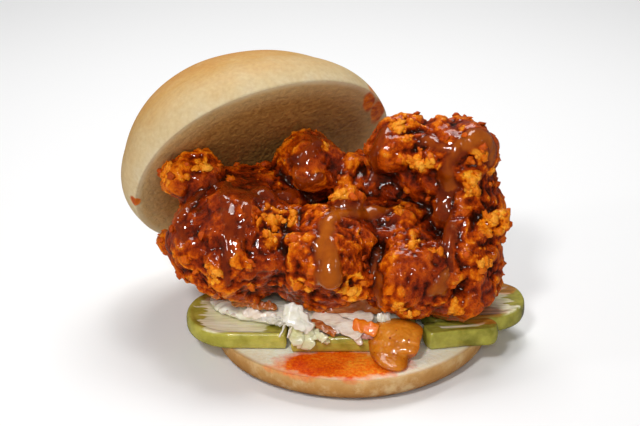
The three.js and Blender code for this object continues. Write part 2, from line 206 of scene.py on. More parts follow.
class Look:
    """A material under way: most methods add one node and give back its output."""

    def __init__(self, name, **settings):
        """A Principled shader whose sockets are set by name. Light sinks in by metres."""
        self.material = bpy.data.materials.new(name)
        self.material.use_nodes = True
        self.tree = self.material.node_tree
        self.shader = self.tree.nodes["Principled BSDF"].inputs
        for socket, value in {"Subsurface_Scale": 1.0, **settings}.items():
            self.feed(self.shader[socket.replace("_", " ")], value)

    def feed(self, socket, value):
        """Links an output to a socket, or sets a plain value on it."""
        if isinstance(value, bpy.types.NodeSocket):
            self.tree.links.new(value, socket)
        else:
            socket.default_value = value

    def node(self, kind, sockets=None, **settings):
        """One node: settings are its own properties, sockets its inputs, as values or links."""
        made = self.tree.nodes.new("ShaderNode" + kind)
        for setting, value in settings.items():
            setattr(made, setting, value)
        for socket, value in (sockets or {}).items():
            self.feed(made.inputs[socket], value)
        return made

    def place(self, stretch=(1, 1, 1)):
        """Object coordinates in metres, stretched if a pattern runs one way."""
        where = self.node("TexCoord").outputs["Object"]
        return self.node("Mapping", {"Vector": where, "Scale": stretch}).outputs["Vector"]

    def fact(self, name):
        """The number that was stored per point under this name."""
        return self.node("Attribute", attribute_name=name).outputs["Fac"]

    def grain(self, size, where, detail=4.0, roughness=0.55):
        """Noise with blotches about size metres across."""
        sockets = {"Vector": where, "Scale": 1 / size, "Detail": detail, "Roughness": roughness}
        return self.node("TexNoise", sockets).outputs["Fac"]

    def graded(self, value, *stops):
        """A colour ramp: each stop is a place and a colour as the eye reads it."""
        made = self.node("ValToRGB", {"Fac": value})
        ramp = made.color_ramp
        while len(ramp.elements) < len(stops):
            ramp.elements.new(0.5)
        for element, (place, *colour) in zip(ramp.elements, stops):
            element.position = place
            element.color = seen(*colour)
        return made.outputs["Color"]

    def between(self, share, first, second, blend="MIX"):
        """first where share is 0, second where it is 1."""
        made = self.node("Mix", {0: share, 6: first, 7: second}, data_type="RGBA", blend_type=blend)
        return made.outputs[2]

    def sums(self, operation, first, second):
        """One sum on two numbers, such as MULTIPLY or MAXIMUM, held between 0 and 1."""
        made = self.node("Math", {0: first, 1: second}, operation=operation, use_clamp=True)
        return made.outputs[0]

    def scaled(self, value, factor, more):
        """value * factor + more."""
        return self.node("Math", {0: value, 1: factor, 2: more}, operation="MULTIPLY_ADD").outputs[0]

    def ranged(self, value, low, high, to_low=0.0, to_high=1.0):
        """value from low..high brought to to_low..to_high, held at the ends."""
        sockets = {0: value, 1: low, 2: high, 3: to_low, 4: to_high}
        return self.node("MapRange", sockets).outputs[0]

    def specked(self, colour, where, scale, far, near, amount, speck):
        """colour with round specks, which grow from nothing at far to amount at near, measured
        from each Voronoi point."""
        gap = self.node("TexVoronoi", {"Vector": where, "Scale": scale}).outputs["Distance"]
        return self.between(self.ranged(gap, far, near, 0, amount), colour, seen(*speck))

    def stained(self, stains, wobble):
        """1 inside any of the egg-shaped places, given by middle and radii in millimetres, and 0
        outside, with an edge that the noise makes ragged."""
        where = self.node("TexCoord").outputs["Object"]
        found = 0.0
        for middle, radii in stains:
            centre = tuple(value * MM for value in middle)
            scale = tuple(1 / (value * MM) for value in radii)
            off = self.node("VectorMath", {0: where, 1: centre}, operation="SUBTRACT")
            off = self.node("VectorMath", {0: off.outputs[0], 1: scale}, operation="MULTIPLY")
            far = self.node("VectorMath", {0: off.outputs[0]}, operation="LENGTH")
            ragged = self.scaled(wobble, 0.7, far.outputs["Value"])
            found = self.sums("MAXIMUM", self.ranged(ragged, 1.45, 1.15), found)
        return found

    def done(self, colour, height, depth):
        """The finished material, with height standing depth metres out of it in the light."""
        self.feed(self.shader["Base Color"], colour)
        sockets = {"Height": height, "Distance": depth, "Strength": 1.0}
        self.feed(self.shader["Normal"], self.node("Bump", sockets).outputs["Normal"])
        return self.material


# %% [markdown]
# The camera and the light
#
# The camera stands where the photographer stood: nearly half a metre away, looking down a little.
# Its place and lens were worked out from the rims of the two bun halves, which are both round and
# about 100 mm across. The light is a small studio: a bright little panel high on the left is the
# key and leaves crisp glints in the sauce, weaker panels in front, above and at both sides open the
# shadows, and one behind lights the pale wall. The floor doesn't show in the gloss, because its
# reflection would lay a milky veil over the dark sauce.

# %% Camera
TARGET = np.array([-10.88, 0.0, 49.57]) * MM
CAMERA_DISTANCE = 480 * MM
CAMERA_RISE = np.radians(22)
LENS = 75.9

camera = linked("camera", bpy.data.cameras.new("camera"))
camera.data.lens = LENS
back = np.array([0, -np.cos(CAMERA_RISE), np.sin(CAMERA_RISE)])
camera.location = TARGET + CAMERA_DISTANCE * back
camera.rotation_euler = (np.pi / 2 - CAMERA_RISE, 0, 0)
bpy.context.scene.camera = camera

# %% Floor and lights
FLOOR_HALF = 1.5
FLOOR_STEPS = 40
FLOOR_BEND_AT = 0.4
FLOOR_BEND = 0.5
FLOOR_BELOW = 0.0002
FLOOR_GREY = 0.93
WORLD_LIGHT = 0.12


def make_floor():
    """A wide sheet that starts flat and curves up behind: height grows with the distance cubed."""
    steps = np.linspace(-FLOOR_HALF, FLOOR_HALF, FLOOR_STEPS)
    x, y = np.meshgrid(steps, steps)
    rise = FLOOR_BEND * np.clip(y - FLOOR_BEND_AT, 0, None) ** 3
    points = np.stack([x, y, rise - FLOOR_BELOW], axis=-1).reshape(-1, 3)
    grid = np.arange(FLOOR_STEPS ** 2).reshape(FLOOR_STEPS, FLOOR_STEPS)
    quads = np.stack([grid[:-1, :-1], grid[:-1, 1:], grid[1:, 1:], grid[1:, :-1]], axis=-1)
    floor = linked("floor", put_mesh("floor", points, quads.ravel(), np.full(quads.size // 4, 4)))
    look = Look("floor", Roughness=0.9, Base_Color=(FLOOR_GREY, FLOOR_GREY, FLOOR_GREY, 1))
    floor.data.materials.append(look.material)
    floor.visible_glossy = False


def add_panel(name, place, aim, width, power):
    """A square area light that looks from place towards aim, both in millimetres."""
    lamp = linked(name, bpy.data.lights.new(name, "AREA"))
    lamp.data.size = width * MM
    lamp.data.energy = power
    way = np.subtract(aim, place)
    lamp.location = np.array(place) * MM
    tilt = np.arccos(-way[2] / np.linalg.norm(way))
    lamp.rotation_euler = (tilt, 0, np.arctan2(way[1], way[0]) - np.pi / 2)


make_floor()
add_panel("key", (-170, -540, 520), (0, 0, 40), 90, 2.5)
add_panel("front", (-20, -650, 370), (0, -20, 10), 80, 1.0)
add_panel("top", (0, 60, 640), (0, 0, 40), 90, 0.45)
add_panel("left", (-620, -160, 260), (0, 0, 60), 70, 0.45)
add_panel("side", (560, -260, 300), (0, 0, 40), 50, 0.16)
add_panel("rear", (0, 300, 700), (0, 600, 0), 420, 4.0)
bpy.context.scene.view_settings.view_transform = "Standard"
world = bpy.data.worlds.new("studio")
bpy.context.scene.world = world
world.use_nodes = True
background = world.node_tree.nodes["Background"].inputs
background["Color"].default_value = (1, 1, 1, 1)
background["Strength"].default_value = WORLD_LIGHT

# %% [markdown]
# The bun: two halves with one outline
#
# A burger bun is proofed in a round, so both halves share the same nearly circular outline. The
# heel is the shallow half, flat where it lies. The crown is the domed half. Each could be a lathe
# turned round a line, but the rings helper does that and lets the dome lean, as this one does. On
# the cut faces the rings run close together, so that the torn crumb can be real relief.

# %% Bread shape
BUN_RADIUS = 50.0
BUN_UNEVENNESS = 0.5
BREAD_AROUND = 288
HEEL_HEIGHT = 9.5
HEEL_BASE_RADIUS = 41.0
HEEL_FULLNESS = 3.0
HEEL_RELIEF = 0.6
HEEL_BASE_RINGS = 12
HEEL_SIDE_RINGS = 24
HEEL_FACE_RINGS = 89


def bread_disc(radius):
    """x and y of rings with these radii, all a little uneven: two slow waves run round them."""
    angle = turns(BREAD_AROUND)
    wobble = BUN_UNEVENNESS * (np.sin(3 * angle + 0.8) + 0.6 * np.sin(5 * angle + 2.1))
    out = radius[:, None] * (1 + wobble / BUN_RADIUS)
    return out * np.cos(angle), out * np.sin(angle)


def bread_mesh(name, rings, rise, on_face, near_rim):
    """The rings of one half as a mesh, with what its material needs to know of each ring."""
    facts = {"rise": rise[None], "crumb": on_face[None], "edge": near_rim[None, :, None]}
    return wrapped(name, rings[None], facts)


def crumb_relief(points):
    """Torn crumb: shallow pores where a seed is near, over a gentle swell."""
    pores = crags(stirred(points, 3.0, 0.6), 1.7, 3)
    small = crags(points, 0.8, 9)
    return -0.28 * eased(0.5 - pores, 0, 0.4) - 0.12 * eased(0.5 - small, 0, 0.4) + 0.2 * swell(points, 9, 4)


def make_heel_mesh():
    """Rings from the middle of the base out and round the side to the middle of the cut face:
    the side follows a quarter round, radius = base + (rim - base) * sqrt(1 - (1 - height)^3)."""
    height = np.sin(np.linspace(0, np.pi / 2, HEEL_SIDE_RINGS)) ** 1.4
    side = HEEL_BASE_RADIUS + (BUN_RADIUS - HEEL_BASE_RADIUS) * np.sqrt(1 - (1 - height) ** HEEL_FULLNESS)
    base = np.linspace(0.04, 1, HEEL_BASE_RINGS, endpoint=False) * HEEL_BASE_RADIUS
    face = np.linspace(1, 0.01, HEEL_FACE_RINGS + 1)[1:] * BUN_RADIUS
    radius = np.concatenate([base, side, face])
    rise = np.concatenate([0 * base, height, np.ones(len(face))])[:, None]
    on_face = np.concatenate([0 * base, 0 * side, eased(BUN_RADIUS - face, 0.2, 2.5)])[:, None]
    x, y = bread_disc(radius)
    rings = np.stack([x, y, rise * HEEL_HEIGHT + 0 * x], axis=-1)
    rings[..., 2] += on_face * crumb_relief(rings) * HEEL_RELIEF
    return bread_mesh("bun_heel_bread", rings, rise, on_face, eased(radius, 38, 49))


# %% Crown shape
CROWN_HEIGHT = 41.4
CROWN_SHOULDER = 1.84
CROWN_CAP = 2.05
CROWN_BULGE = 1.3
CROWN_BULGE_HEIGHT = 18.0
CROWN_SIDEWAYS = -5.9
CROWN_UPWARDS = -2.0
CROWN_RELIEF = 0.9
CROWN_CENTRE = np.array([-32.3, 28.8, 57.3])
CROWN_FACE = unit(np.array([0.364, -0.714, -0.598]))
CROWN_ACROSS = unit(np.cross([0, 0, 1], CROWN_FACE))
CROWN_ALONG = np.cross(CROWN_FACE, CROWN_ACROSS)
CROWN_FACE_RINGS = 99
CROWN_DOME_RINGS = 90


def make_crown_mesh():
    """Rings from the middle of the cut face out to the rim and over the dome to its top. The dome
    is a rounded barrel: radius = rim * (1 - height^2.05)^(1 / 1.84), with a bulge low down, and
    each ring is pushed sideways by a quarter sine of its height, so that the top leans."""
    face = np.linspace(0.01, 1, CROWN_FACE_RINGS + 1)[:-1] * BUN_RADIUS
    up = np.sin(np.linspace(0, 1, CROWN_DOME_RINGS, endpoint=False) * np.pi / 2)
    fall = (1 - up ** CROWN_CAP) ** (1 / CROWN_SHOULDER)
    bulge = np.sin(np.minimum(1, up * CROWN_HEIGHT / CROWN_BULGE_HEIGHT) * np.pi)
    radius = np.concatenate([face, BUN_RADIUS * fall + CROWN_BULGE * bulge])
    rise = np.concatenate([0 * face, up])[:, None]
    on_face = np.concatenate([eased(BUN_RADIUS - face, 0.3, 3), 0 * up])[:, None]
    lean = np.sin(rise * np.pi / 2)
    x, y = bread_disc(radius)
    flat = np.stack([x, y, 0 * x], axis=-1)
    depth = -on_face * crumb_relief(flat) * CROWN_RELIEF
    skin = eased(rise, 0.02, 0.2) * (0.35 * swell(flat + [0, 0, 5], 14, 2) - 0.3)
    rings = (
        CROWN_CENTRE
        + CROWN_ACROSS * (x + CROWN_SIDEWAYS * lean)[..., None]
        + CROWN_ALONG * (y + CROWN_UPWARDS * lean)[..., None]
        - CROWN_FACE * (rise * (CROWN_HEIGHT + skin) + depth)[..., None]
    )
    return bread_mesh("bun_crown_bread", rings, rise, on_face, eased(radius, 36, 49))


# %% [markdown]
# Bread colours
#
# The oven browns only what it reaches: the top of the dome is golden, the sides stay pale cream,
# and the underside of the heel has a thin tan skin. The cut faces are crumb, a warm cream full of
# tiny painted shadows. The crown's cut face looks down, so its crumb is painted darker and browner
# as painted shade, a little of it toast, with a lighter band along its rim as painted light. Oil
# from the chicken has soaked into the heel in front, in a bright orange fan, and has smeared the
# crown's rim on the right.

# %% Bread material
HEEL_STAINS = (((-4.5, -38.5, 9.8), (24, 11, 3.5)),)
CROWN_STAINS = (
    ((7, 27.8, 82.2), (2.4, 6.5, 6.5)),
    ((10.4, 34.4, 76.2), (2.8, 8, 8)),
    ((-78.4, 12.6, 49), (2.2, 3, 2.6)),
)
HEEL_SKIN = (
    (0.1, 116, 70, 28), (0.35, 166, 112, 50), (0.6, 188, 138, 74), (0.85, 214, 174, 116),
    (1, 226, 194, 142),
)
CROWN_SKIN = (
    (0.02, 212, 200, 168), (0.2, 208, 186, 142), (0.45, 204, 162, 98), (0.7, 200, 140, 68),
    (1, 192, 118, 42),
)
# The crown's crumb is painted darker and browner than the heel's: painted shade on a face that looks down.
HEEL_CRUMB = ((0.3, 250, 240, 216), (0.62, 255, 253, 244))
CROWN_CRUMB = ((0.3, 134, 88, 38), (0.62, 170, 120, 60))


def heel_stain_colour(look, where):
    """Chilli oil on crumb: bright orange with darker red grains."""
    broad = look.scaled(look.grain(0.012, where, 2.0), 0.7, look.grain(0.0012, where, 5.0, 0.7))
    broad = look.ranged(broad, 0.4, 1.3)
    return look.graded(broad, (0.3, 226, 62, 0), (0.5, 250, 106, 4), (0.75, 255, 160, 44))


def crown_stain_colour(look, where):
    """A smear of sauce, brown orange."""
    return look.graded(look.grain(0.003, where), (0.35, 176, 66, 0), (0.65, 236, 128, 8))


def bread_material(name, patchy, skin_stops, crumb_stops, stains, stain_colour):
    """Skin colour by height, stirred by patchy, with a bloom of flour, crumb on the cut face with a
    band near the rim that is painted light on the crown, and oily stains."""
    look = Look(
        name, Roughness=0.62, Specular_IOR_Level=0.2, Subsurface_Weight=0.12,
        Subsurface_Radius=(0.004, 0.0025, 0.0012),
    )
    where = look.place()
    fine = look.grain(0.0016, where, 6.0)
    rise = look.scaled(look.grain(0.011, where), patchy, look.fact("rise"))
    skin = look.graded(look.ranged(rise, 0, 1 + patchy), *skin_stops)
    pores = look.ranged(fine, 0.3, 0.7, 0, 0.25)
    skin = look.between(pores, skin, seen(196, 150, 100), "MULTIPLY")
    flour = look.ranged(look.grain(0.0085, where, 5.0, 0.7), 0.5, 0.68, 0, patchy * 0.6)
    skin = look.between(flour, skin, seen(218, 190, 142))
    # Near the rim the crumb turns light tan: painted light on the crown's shaded face, a tan edge on the
    # heel.
    rim = look.ranged(look.fact("edge"), 0, 1, 0, 0.4)
    crumb = look.between(rim, look.graded(fine, *crumb_stops), seen(230, 204, 146))
    colour = look.between(look.fact("crumb"), skin, crumb)
    soaked = look.stained(stains, look.grain(0.006, where, 5.0))
    colour = look.between(soaked, colour, stain_colour(look, where))
    look.feed(look.shader["Roughness"], look.ranged(soaked, 0, 1, 0.62, 0.42))
    rough = look.ranged(look.fact("crumb"), 0, 1, 0.3, 0.8)
    return look.done(colour, look.sums("MULTIPLY", fine, rough), 0.0005)


heel_bread = bread_material("heel_bread", 1.0, HEEL_SKIN, HEEL_CRUMB, HEEL_STAINS, heel_stain_colour)
crown_bread = bread_material("crown_bread", 0.35, CROWN_SKIN, CROWN_CRUMB, CROWN_STAINS, crown_stain_colour)
add_piece("bun_heel_bread", make_heel_mesh(), heel_bread, "bun_heel")
add_piece("bun_crown_bread", make_crown_mesh(), crown_bread, "bun_crown")

# %% [markdown]
# Pickle slabs
#
# The pickles are cut lengthwise, so each slab shows pale wet flesh with streaks that run along it
# and a band of olive rind that follows the outline. The outline has straight sides and elliptic
# ends. Rings shrink from that outline to the middle of the top, and the slab's side is a few more
# rings with eased edges. How far in a point lies is stored, so the material can tell rind from
# flesh.

# %% Pickles
PICKLE_Z = 9.8
PICKLE_AROUND = 220
PICKLE_UNDER_RINGS = 13
PICKLE_SIDE_RINGS = 9
PICKLE_TOP_RINGS = 59
PICKLE_EASE = 0.7
PICKLE_END_POINTS = 60
PICKLE_END_RIND = 5.5
PICKLE_FLESH_SINK = 0.35
PICKLES = {
    "pickle_left": ((-40.4, -8.5), (37, 39), 6.0, (18, 0.7), 0, 1.2),
    "pickle_middle": ((0.95, -9.5), (44.9, 42), 6.0, (0.7, 3), 0, 1.2),
    "pickle_right_front": ((38.4, -22.4), (27, 8.5), 6.8, (2, 4), 9, 3.0),
    "pickle_right_rear": ((44, 0.4), (40, 33), 6.8, (3, 17), 8, 1.2),
}
PICKLE_STAINS = (
    ((-42, 2, 15.6), (11, 6, 3)),
    ((-31, -8, 15.6), (6, 6, 3)),
    ((57, 9, 16.4), (5, 6, 3)),
    ((48, -18, 16.4), (9, 3.5, 2)),
    ((44, -11, 16.4), (12, 6, 2)),
)


def pickle_outline(size, ends):
    """Points round a slab: straight long sides joined by a half ellipse at each end, evenly
    spaced along the way round."""
    half_length, half_width = size[0] / 2, size[1] / 2
    left, right = ends
    turn = np.linspace(-np.pi / 2, np.pi / 2, PICKLE_END_POINTS)
    right_x = half_length - right + right * np.cos(turn)
    left_x = -half_length + left - left * np.cos(turn)
    right_end = np.stack([right_x, half_width * np.sin(turn)], axis=-1)
    left_end = np.stack([left_x, -half_width * np.sin(turn)], axis=-1)
    path = np.concatenate([right_end, left_end, right_end[:1]])
    way = np.concatenate([[0], np.cumsum(np.linalg.norm(np.diff(path, axis=0), axis=1))])
    even = np.linspace(0, way[-1], PICKLE_AROUND, endpoint=False)
    return np.stack([np.interp(even, way, path[:, k]) for k in range(2)], axis=-1)


def make_pickle_mesh(name, middle, size, thickness, ends, turn, rind):
    """Rings from the middle of the underside, out, up the eased side and in over the top. The
    flesh sinks a little, the rind stands, and both swell gently. ends are the lengths of the two
    rounded ends, turn is in degrees and rind is the rind's width at the long sides."""
    outline = pickle_outline(size, ends)
    inwards = unit(outline)
    inner = outline - PICKLE_EASE * inwards
    edge = np.linspace(-1, 1, PICKLE_SIDE_RINGS)
    under = np.linspace(0.03, 1, PICKLE_UNDER_RINGS + 1)[:-1]
    over = np.linspace(1, 0.02, PICKLE_TOP_RINGS + 1)[1:]
    side = outline - (PICKLE_EASE * np.abs(edge) ** 3)[:, None, None] * inwards
    flat = np.concatenate([under[:, None, None] * inner, side, over[:, None, None] * inner])
    up = np.concatenate([0 * under, (edge + 1) / 2, np.ones(len(over))])[:, None] * np.ones(PICKLE_AROUND)
    share = np.concatenate([under, np.ones(len(edge)), over])
    points = np.concatenate([flat, (up * thickness)[..., None]], axis=-1)
    points[..., 2] += up * (0.25 * swell(points * [0.4, 1, 1] + 20, 5, 3) - 0.3)
    deep = (1 - share[:, None]) * min(size) / 2
    points[..., 2] -= PICKLE_FLESH_SINK * eased(deep, 0.8, 2.5) * up
    sway = 0.22 * swell(points + 40, 3.2, 6) * np.sin(np.pi * np.clip(up, 0.02, 0.98))
    points[..., :2] -= inwards * np.abs(sway)[..., None]
    angle = np.radians(turn)
    x = points[..., 0] * np.cos(angle) - points[..., 1] * np.sin(angle) + middle[0]
    y = points[..., 0] * np.sin(angle) + points[..., 1] * np.cos(angle) + middle[1]
    rings = np.stack([x, y, points[..., 2] + PICKLE_Z], axis=-1)
    streak = swell(points * [0.12, 1, 1], 1.6, 8) + 0.6 * swell(points * [0.2, 1, 1], 0.8, 2)
    end_band = size[0] / 2 - np.abs(points[..., 0]) - PICKLE_END_RIND
    side_band = size[1] / 2 - np.abs(points[..., 1]) - rind
    inside = np.minimum(end_band + 3.2 * streak, side_band + 0.4 * streak)
    flesh = eased(inside, 0, 1.2) * eased(up, 0.9, 1)
    return wrapped(name, rings[None], {"flesh": flesh[None]})


def pickle_material(name, rind_dark, rind_light):
    """Wet rind and streaky translucent flesh, with oil that has run over part of it."""
    look = Look(
        name, Roughness=0.22, Specular_IOR_Level=0.5, Coat_Weight=0.6, Coat_Roughness=0.08,
        Subsurface_Weight=0.25, Subsurface_Radius=(0.002, 0.003, 0.001),
    )
    streaks = look.grain(0.0016, look.place((0.12, 1, 1)), 3.0)
    where = look.place()
    rind = look.graded(look.grain(0.006, where), (0.32, *rind_dark), (0.68, *rind_light))
    flesh = look.graded(streaks, (0.3, 206, 198, 148), (0.5, 238, 231, 192), (0.72, 252, 246, 222))
    colour = look.between(look.fact("flesh"), rind, flesh)
    oily = look.stained(PICKLE_STAINS, look.grain(0.004, where, 4.0))
    oil = look.graded(streaks, (0.35, 150, 66, 8), (0.65, 214, 122, 40))
    colour = look.between(look.sums("MULTIPLY", oily, 0.65), colour, oil)
    return look.done(colour, streaks, 0.0003)


left_pickle = pickle_material("pickle_pale", (148, 140, 40), (200, 188, 84))
right_pickle = pickle_material("pickle_olive", (122, 116, 34), (180, 172, 70))
for name, shape in PICKLES.items():
    skin = right_pickle if "right" in name else left_pickle
    add_piece(f"{name}_slab", make_pickle_mesh(f"{name}_slab", *shape), skin, name)

# %% [markdown]
# The fried chicken: a crust of crags
#
# A floured thigh fries into rounded crags with dark creases between them, with thin golden flakes
# where the batter stood proud. Sculpting that by hand takes days. Instead the solid of the chicken
# is copied, merged and rebuilt out of even small squares, which rounds its flat facets. Then each
# point moves along its normal by crag noise in three sizes and by torn crests in two. The noise is
# laid on stirred points, or the crags would look like cobbles.

# %% Even squares from a solid
MERGE_WITHIN = 0.01


def rebuilt(name, square, rounds):
    """A merged copy of a solid as even squares, smoothed a number of rounds: a new mesh."""
    shape = bmesh.new()
    shape.from_mesh(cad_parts[name].data)
    bmesh.ops.remove_doubles(shape, verts=shape.verts, dist=MERGE_WITHIN * MM)
    mesh = bpy.data.meshes.new(f"{name}_copy")
    shape.to_mesh(mesh)
    shape.free()
    helper = linked(f"{name}_copy", mesh)
    remesh = helper.modifiers.new("squares", "REMESH")
    remesh.mode = "VOXEL"
    remesh.voxel_size = square * MM
    smooth = helper.modifiers.new("smooth", "SMOOTH")
    smooth.factor = 0.5
    smooth.iterations = rounds
    ready = helper.evaluated_get(bpy.context.evaluated_depsgraph_get())
    made = bpy.data.meshes.new_from_object(ready)
    bpy.data.objects.remove(helper)
    made.polygons.foreach_set("use_smooth", np.ones(len(made.polygons), dtype=bool))
    return made


def read(items, key, width=3, kind=np.float32):
    """What a mesh stores under this key, as one row for each of its items."""
    flat = np.empty(len(items) * width, dtype=kind)
    items.foreach_get(key, flat)
    return flat.reshape(-1, width)


def hollows(mesh, points, normals, rounds):
    """How deep each point lies below its surroundings, in millimetres: the surroundings are the
    points averaged with their neighbours along the edges, again and again."""
    first, second = read(mesh.edges, "vertices", 2, np.int32).T
    count = len(points)
    shares = np.bincount(first, minlength=count) + np.bincount(second, minlength=count)
    calm = points.copy()
    for _ in range(rounds):
        moved = [
            np.bincount(first, calm[second, k], count) + np.bincount(second, calm[first, k], count)
            for k in range(3)
        ]
        calm = 0.4 * calm + 0.6 * np.stack(moved, axis=-1) / shares[:, None]
    return np.sum((calm - points) * normals, axis=-1)


# %% [markdown]
# Where the sauce lies
#
# The sauce was poured over the top and ran down in strands that end in thick rounded drips. Each
# strand is a path of points on the crust with a width. A point of the crust is under the sauce
# where it is nearer to a path than the width there. Thin glaze covers wider places, mostly on the
# upper side of the left part and of the standing part; more dark glaze on the right and low down
# stands in for the shade there, as painted shade. Each strand also has a number for how
# milky it is: near 0 it is clear and dark like syrup, near 1 it hides the crust like caramel.
# Golden flakes are places too: small balls inside which the crust stays dry and light.

# %% Places of sauce and of gold
SAUCE_RUNS = {
    "front drip": (0.62, (
        (-3.4, -17, 57.4, 2.8), (-7.5, -24.2, 56.1, 3.6), (-10.2, -29.5, 50.6, 4), (-8.4, -34.5, 47, 4.6),
        (-7.6, -37.3, 43.4, 5.6), (-7, -37.5, 40.8, 5.8),
    )),
    "saddle": (0.45, (
        (-5, -17, 57.8, 2.8), (2.2, -14, 56.3, 3.8), (7.1, -11.6, 54.6, 3.6), (11.5, -10.6, 54.2, 2.2),
    )),
    "small drip": (0.45, (
        (8.4, -19.3, 43.2, 1.4), (8.5, -28.4, 37.2, 1.6), (8.5, -29.9, 32.4, 2), (9, -30.6, 27.5, 2.2),
    )),
    "dome": (0.58, (
        (48.2, -7, 71, 1.8), (47.4, -6, 75.4, 2.8), (45.4, -6.4, 79, 3.8), (41.8, -6.9, 80.8, 4.2),
        (38.6, -8.6, 78.8, 3.6), (37.1, -8.6, 76.3, 3.4),
    )),
    "pillar": (0.45, (
        (37.1, -8.6, 76.3, 3.6), (33.8, -9.7, 72.1, 3.4), (33, -9.7, 67.4, 3.8), (33.5, -8.1, 61.8, 4.8),
    )),
    "pillar foot": (0.15, (
        (33.5, -8.1, 61.8, 4.8), (32.9, -9.5, 56.4, 5), (33, -13.1, 50.7, 4.6), (33, -19.8, 46.4, 3.4),
        (32.8, -25.6, 39, 2),
    )),
    "drop": (0.6, (
        (32.4, -26.2, 40, 1.8), (30.8, -28.8, 36.6, 2.4), (29.9, -30, 33.4, 3.2),
    )),
    "top": (0.4, (
        (37.1, -8.6, 77.3, 2.8), (33.6, -8.9, 76.2, 2), (30.3, -7.9, 76.4, 2.2), (26.5, -4.7, 77.9, 2.4),
    )),
    "ridge": (0.2, (
        (-19, -1, 60.2, 3), (-25.1, -5, 60.3, 3.2), (-29, -11.4, 60.9, 3.6), (-35, -14, 61.9, 3.8),
        (-43.2, -11.6, 63.2, 3.6), (-47.3, -5.7, 62, 3),
    )),
    "left strand": (0.12, (
        (-43.2, -12.6, 63, 2.6), (-42, -21.6, 60.4, 2.4), (-41.5, -28.1, 56.6, 2.8),
        (-41.2, -33.7, 49.2, 2.4), (-42.9, -34.2, 42.2, 1.8), (-42.4, -33, 36, 1.4),
    )),
    "second strand": (0.12, (
        (-36.7, -17.6, 62.2, 2.6), (-36, -25.5, 58.4, 2.2), (-36.8, -31, 52.6, 2.4),
        (-35.7, -31.6, 47.8, 1.6),
    )),
    "far strand": (0.2, (
        (-54.1, -7.1, 58.8, 2.8), (-57.4, -13.7, 56, 2.6), (-58.9, -18.2, 52.1, 2.6),
        (-56.6, -23.7, 48.3, 1.8),
    )),
    "edge strand": (0.2, (
        (-61.5, -9, 51, 1.6), (-63.5, -11.6, 46.4, 1.8), (-62.9, -15.9, 42, 1.6),
    )),
    "lump": (0.3, (
        (11.4, 0.9, 79.6, 2.8), (9.9, -2.1, 76.5, 3), (8.2, -2, 70.8, 2.6), (6.5, 1.2, 63.1, 2),
    )),
    "knob": (0.2, (
        (-13, 10, 72.6, 3), (-14, 8.6, 69.5, 2.8), (-18, 7, 65, 2.2),
    )),
    "knob foot": (0.3, (
        (-11.6, -0.2, 62.2, 2.4), (-13.7, -1, 60.7, 2.6),
    )),
}
# Balls of thin dark glaze: some are real glaze, some on the right and low down are painted shade.
GLAZED = (
    (-47, -20, 58, 20), (-40, -8, 62, 16), (-58, -10, 48, 12), (42, -4, 80, 10), (10, 2, 76, 8),
    (-12, 10, 68, 9), (4, -14, 56, 11), (33, -14, 52, 9), (-30, -30, 42, 8), (40, 4, 62, 9),
    (-14, 8, 54, 12), (-20, 40, 40, 26), (30, 22, 66, 16), (24, -6, 64, 9), (18, -24, 34, 7),
    (30, -24, 36, 8), (12, -4, 66, 8), (34, -26, 22, 8), (-20, -28, 26, 9), (44, -24, 28, 7),
    (20, -30, 25, 7), (30, -12, 42, 9), (-8, -31, 29, 6), (36, -10, 56, 7), (22, -28, 36, 10),
    (26, -20, 50, 6), (16, -8, 58, 8), (-66, -4, 48, 6),
)
GOLDEN = (
    (-64.9, -3.8, 66.1, 4), (-51.7, -2.6, 68.7, 4), (-57.3, -7.6, 65.3, 3.5), (-35.8, 3.8, 62.1, 3),
    (-26.4, -20.1, 55.4, 7.5), (-21.8, -19.6, 53.8, 4.5), (-26.4, -25.9, 50.6, 5), (-16.3, -31.5, 35.3, 5),
    (-7.5, -31.8, 31.7, 4), (-34.6, -30.3, 35.1, 3), (-47.2, -32.4, 39.8, 5), (24.2, -8.3, 71.5, 6),
    (19.7, -4.4, 69.3, 4), (41, -11.4, 66.6, 5), (48.2, -5.4, 66, 5), (41.4, -11.8, 63.2, 4),
    (43.9, -9.3, 74.5, 3.5), (48, -15, 51.7, 8), (40.6, -9.4, 71.6, 3), (16.9, -9.2, 55.5, 4),
    (21.9, -22.7, 47, 5), (0.4, -31.9, 36.7, 6), (16.3, -32.1, 27.3, 4), (20.5, -30.6, 25.1, 3),
    (35, -29.1, 25.1, 4), (45.6, -22.5, 39.4, 5), (-4.7, -14, 62.4, 4.5), (16.4, 2.7, 82.1, 4),
    (18.9, -1.9, 79.5, 4), (36.7, -3, 82.3, 3.5), (-9.5, 9, 70.5, 3), (28, -22.7, 44.1, 4), (46, 14, 70, 5),
    (34, 18, 76, 5), (-20, 32, 54, 5), (8, 36, 44, 6), (-40, 30, 44, 6), (52, 6, 42, 6),
)


FAR_OUT = -9.0


def laid_on(points, run):
    """The run with three more points in each stretch, each moved to the nearest point of the crust."""
    run = np.array(run)
    spot = np.linspace(0, len(run) - 1, 4 * (len(run) - 1) + 1)
    finer = np.stack([np.interp(spot, np.arange(len(run)), run[:, k]) for k in range(4)], axis=-1)
    for place in finer:
        place[:3] = points[np.argmin(np.sum((points - place[:3]) ** 2, axis=1))]
    return finer


def depth_in_run(points, run):
    """1 on the middle line of a run, 0 at its edge and less outside: 1 minus the distance to each
    straight stretch over the width there, the best of all stretches. Also the width there."""
    best = np.full(len(points), FAR_OUT)
    wide = np.zeros(len(points))
    for start, end in zip(run[:-1], run[1:]):
        a, b = start[:3], end[:3]
        share = np.clip((points - a) @ (b - a) / max(np.sum((b - a) ** 2), 1e-6), 0, 1)
        gap = np.linalg.norm(points - a - share[:, None] * (b - a), axis=1)
        width = start[3] + share * (end[3] - start[3])
        depth = 1 - gap / width
        wide = np.where(depth > best, width, wide)
        best = np.maximum(best, depth)
    return best, wide


